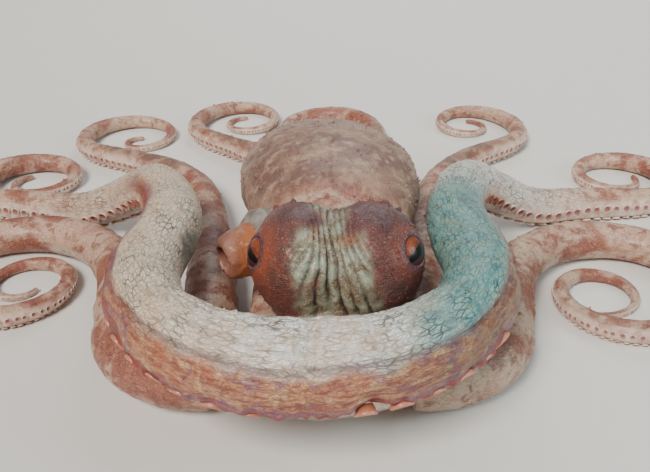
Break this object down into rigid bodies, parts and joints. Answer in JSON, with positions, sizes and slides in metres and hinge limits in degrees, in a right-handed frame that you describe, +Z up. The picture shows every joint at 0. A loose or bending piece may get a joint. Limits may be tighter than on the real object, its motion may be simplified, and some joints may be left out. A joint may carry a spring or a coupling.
{
  "type": "octopus",
  "caption": "Life-size still model of a common octopus at rest: head over a ring of folded arms, the other arms coiled on the floor, mantle lying behind.",
  "frame": {"origin": "on the floor under the crown, at the middle of the ring that the first pair of arms makes", "axes": "+Z up from the floor; +Y backwards, from the head towards the mantle's tip; +X towards the animal's left, a viewer's right"},
  "size_m": [0.4481, 0.42, 0.083],
  "materials": {
    "skin": "moist skin, mottled",
    "head": "moist granular skin, red-brown and grey-green",
    "mantle": "moist skin, mottled",
    "funnel": "smooth moist skin",
    "web": "moist skin with a fine dark network",
    "eye": "clear wet surface over an orange iris with a dark slit"
  },
  "bodies": {
    "root": {"arm_left_1_inner": "skin", "arm_left_1_middle": "skin", "arm_left_1_outer": "skin", "arm_left_1_tip": "skin", "arm_left_2_inner": "skin", "arm_left_2_middle": "skin", "arm_left_2_outer": "skin", "arm_left_2_tip": "skin", "arm_left_3_inner": "skin", "arm_left_3_middle": "skin", "arm_left_3_outer": "skin", "arm_left_3_tip": "skin", "arm_left_4_inner": "skin", "arm_left_4_middle": "skin", "arm_left_4_outer": "skin", "arm_left_4_tip": "skin", "arm_right_1_inner": "skin", "arm_right_1_middle": "skin", "arm_right_1_outer": "skin", "arm_right_1_tip": "skin", "arm_right_2_inner": "skin", "arm_right_2_middle": "skin", "arm_right_2_outer": "skin", "arm_right_2_tip": "skin", "arm_right_3_inner": "skin", "arm_right_3_middle": "skin", "arm_right_3_outer": "skin", "arm_right_3_tip": "skin", "arm_right_4_inner": "skin", "arm_right_4_middle": "skin", "arm_right_4_outer": "skin", "arm_right_4_tip": "skin", "crown": "web", "eye_left": "eye", "eye_right": "eye", "funnel": "funnel", "head": "head", "mantle": "mantle", "web_left": "web", "web_right": "web"}
  },
  "joints": []
}
